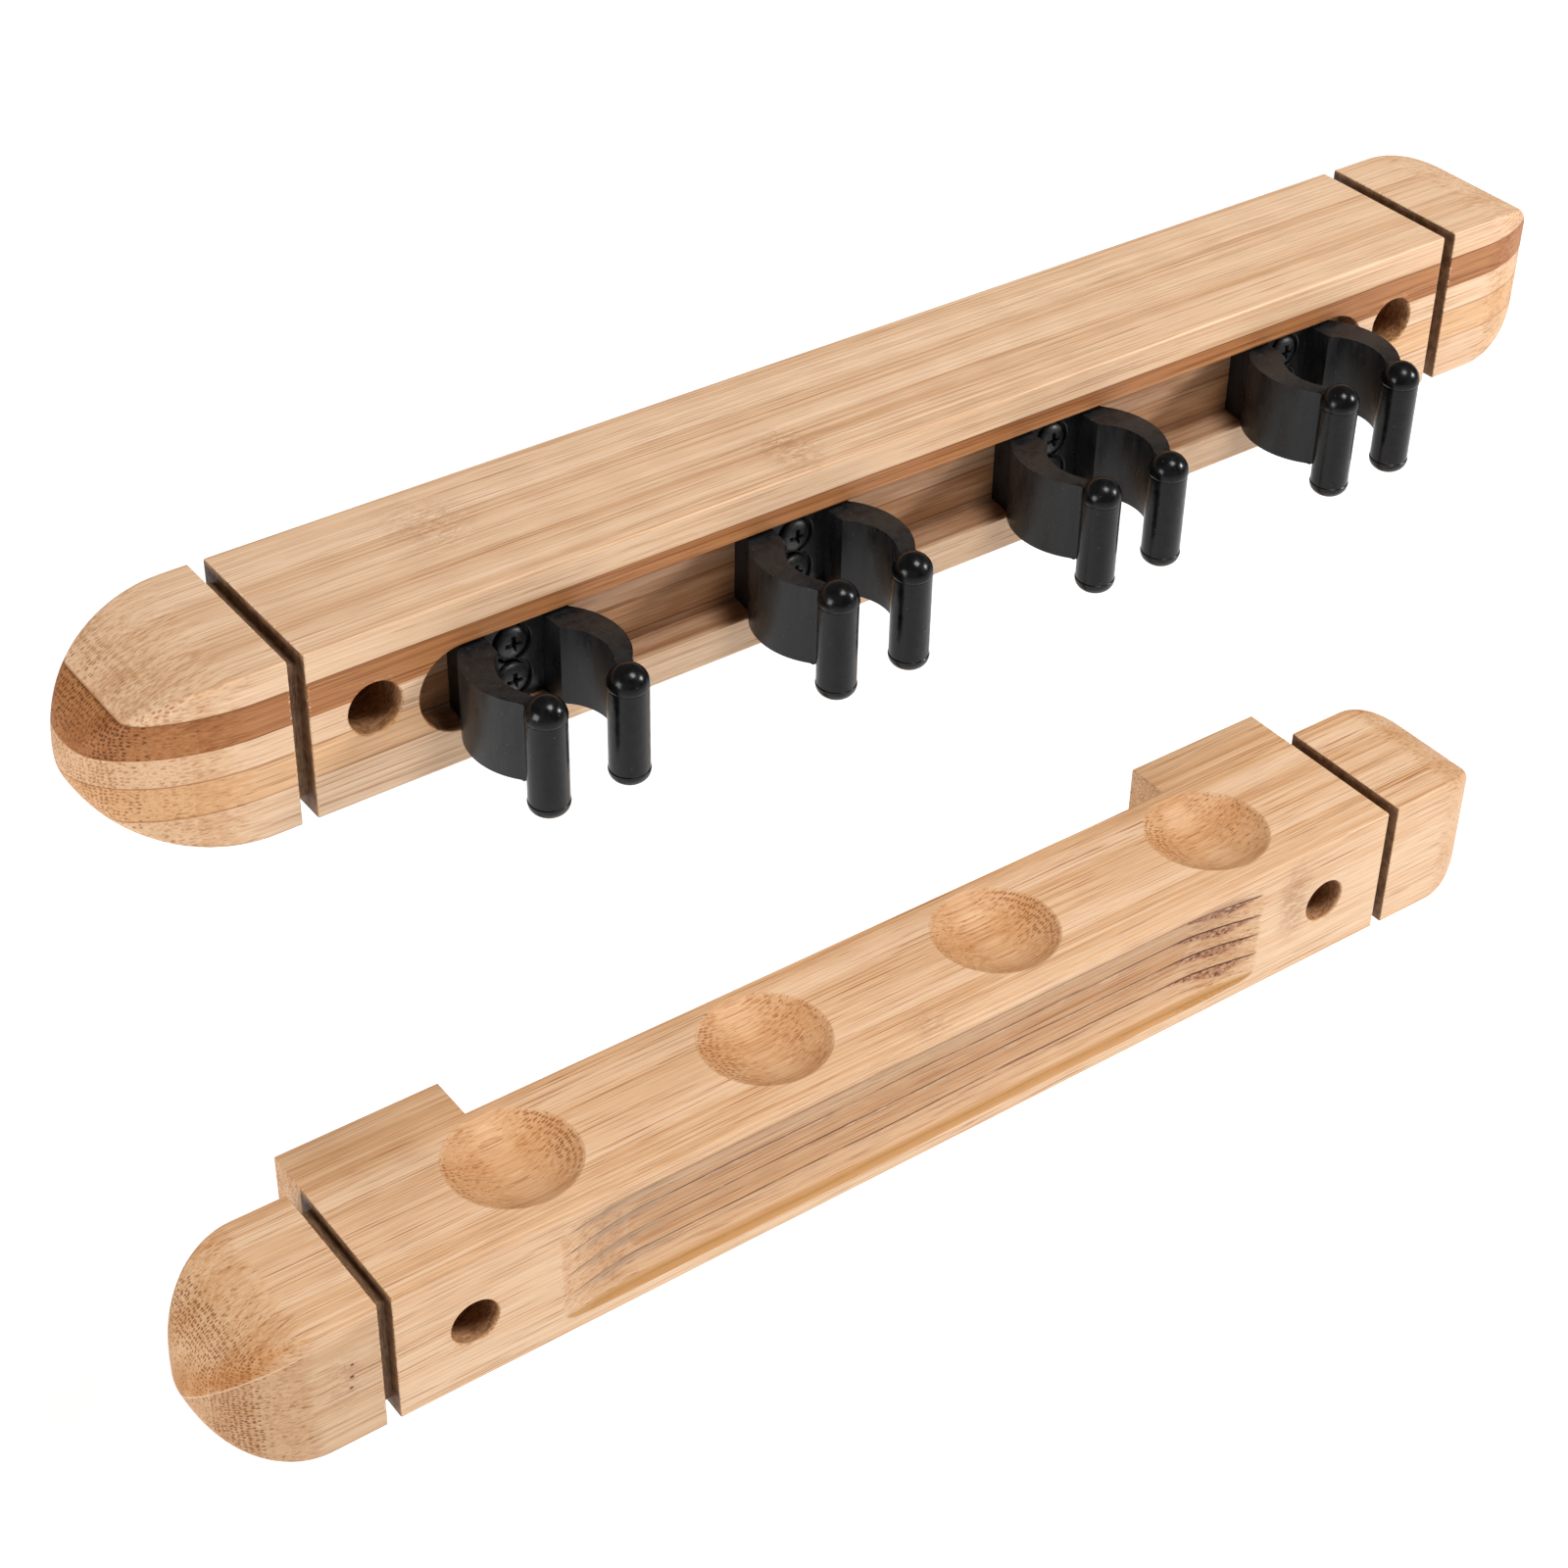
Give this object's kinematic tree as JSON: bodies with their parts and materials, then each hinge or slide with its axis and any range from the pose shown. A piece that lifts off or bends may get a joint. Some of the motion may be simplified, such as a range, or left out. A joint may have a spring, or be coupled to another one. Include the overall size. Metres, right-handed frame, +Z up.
{
  "type": "wall cue rack",
  "caption": "Two-rail wall rack for cues: an upper rail with spring clips that grip the shafts and a lower rail with round dishes that hold the butts.",
  "frame": {"origin": "centre of the upper rail's flat back, on the wall plane", "axes": "+X along the rails to the viewer's right, +Y into the wall, +Z up; the fronts face -Y"},
  "size_m": [0.38, 0.0691, 0.1975],
  "materials": {
    "light_bamboo": "light laminated bamboo, sanded and clear coated, satin",
    "dark_bamboo": "carbonised brown bamboo strip, sanded and clear coated, satin",
    "black_plastic": "moulded black plastic, satin",
    "black_rubber": "smooth black rubber sleeve, semi-gloss",
    "black_steel": "black-finished steel screw"
  },
  "bodies": {
    "rack": {"upper_rail_top_board": "light_bamboo", "upper_rail_dark_strip": "dark_bamboo", "upper_rail_core_board": "light_bamboo", "lower_rail_bar": "light_bamboo", "lower_rail_left_block": "light_bamboo", "lower_rail_right_block": "light_bamboo", "clip_1_base": "black_plastic", "clip_1_upper_screw": "black_steel", "clip_1_lower_screw": "black_steel", "clip_2_base": "black_plastic", "clip_2_upper_screw": "black_steel", "clip_2_lower_screw": "black_steel", "clip_3_base": "black_plastic", "clip_3_upper_screw": "black_steel", "clip_3_lower_screw": "black_steel", "clip_4_base": "black_plastic", "clip_4_upper_screw": "black_steel", "clip_4_lower_screw": "black_steel"},
    "clip_1_left_arm_body": {"clip_1_left_arm": "black_plastic", "clip_1_left_sleeve": "black_rubber"},
    "clip_1_right_arm_body": {"clip_1_right_arm": "black_plastic", "clip_1_right_sleeve": "black_rubber"},
    "clip_2_left_arm_body": {"clip_2_left_arm": "black_plastic", "clip_2_left_sleeve": "black_rubber"},
    "clip_2_right_arm_body": {"clip_2_right_arm": "black_plastic", "clip_2_right_sleeve": "black_rubber"},
    "clip_3_left_arm_body": {"clip_3_left_arm": "black_plastic", "clip_3_left_sleeve": "black_rubber"},
    "clip_3_right_arm_body": {"clip_3_right_arm": "black_plastic", "clip_3_right_sleeve": "black_rubber"},
    "clip_4_left_arm_body": {"clip_4_left_arm": "black_plastic", "clip_4_left_sleeve": "black_rubber"},
    "clip_4_right_arm_body": {"clip_4_right_arm": "black_plastic", "clip_4_right_sleeve": "black_rubber"}
  },
  "joints": [
    {"name": "clip_1_left_flex", "type": "hinge", "parent": "rack", "child": "clip_1_left_arm_body", "pos_m": [-0.11617, -0.05, -0.0017], "axis": [0, 0, -1], "range_deg": [0, 8], "stiffness_Nm_per_rad": 1.1},
    {"name": "clip_1_right_flex", "type": "hinge", "parent": "rack", "child": "clip_1_right_arm_body", "pos_m": [-0.08843, -0.05, -0.0017], "axis": [0, 0, 1], "range_deg": [0, 8], "stiffness_Nm_per_rad": 1.1},
    {"name": "clip_2_left_flex", "type": "hinge", "parent": "rack", "child": "clip_2_left_arm_body", "pos_m": [-0.04797, -0.05, -0.0017], "axis": [0, 0, -1], "range_deg": [0, 8], "stiffness_Nm_per_rad": 1.1},
    {"name": "clip_2_right_flex", "type": "hinge", "parent": "rack", "child": "clip_2_right_arm_body", "pos_m": [-0.02023, -0.05, -0.0017], "axis": [0, 0, 1], "range_deg": [0, 8], "stiffness_Nm_per_rad": 1.1},
    {"name": "clip_3_left_flex", "type": "hinge", "parent": "rack", "child": "clip_3_left_arm_body", "pos_m": [0.02023, -0.05, -0.0017], "axis": [0, 0, -1], "range_deg": [0, 8], "stiffness_Nm_per_rad": 1.1},
    {"name": "clip_3_right_flex", "type": "hinge", "parent": "rack", "child": "clip_3_right_arm_body", "pos_m": [0.04797, -0.05, -0.0017], "axis": [0, 0, 1], "range_deg": [0, 8], "stiffness_Nm_per_rad": 1.1},
    {"name": "clip_4_left_flex", "type": "hinge", "parent": "rack", "child": "clip_4_left_arm_body", "pos_m": [0.08843, -0.05, -0.0017], "axis": [0, 0, -1], "range_deg": [0, 8], "stiffness_Nm_per_rad": 1.1},
    {"name": "clip_4_right_flex", "type": "hinge", "parent": "rack", "child": "clip_4_right_arm_body", "pos_m": [0.11617, -0.05, -0.0017], "axis": [0, 0, 1], "range_deg": [0, 8], "stiffness_Nm_per_rad": 1.1}
  ],
  "couplings": [
    {"joint": "clip_1_right_flex", "follows": "clip_1_left_flex", "ratio": 1},
    {"joint": "clip_2_right_flex", "follows": "clip_2_left_flex", "ratio": 1},
    {"joint": "clip_3_right_flex", "follows": "clip_3_left_flex", "ratio": 1},
    {"joint": "clip_4_right_flex", "follows": "clip_4_left_flex", "ratio": 1}
  ]
}
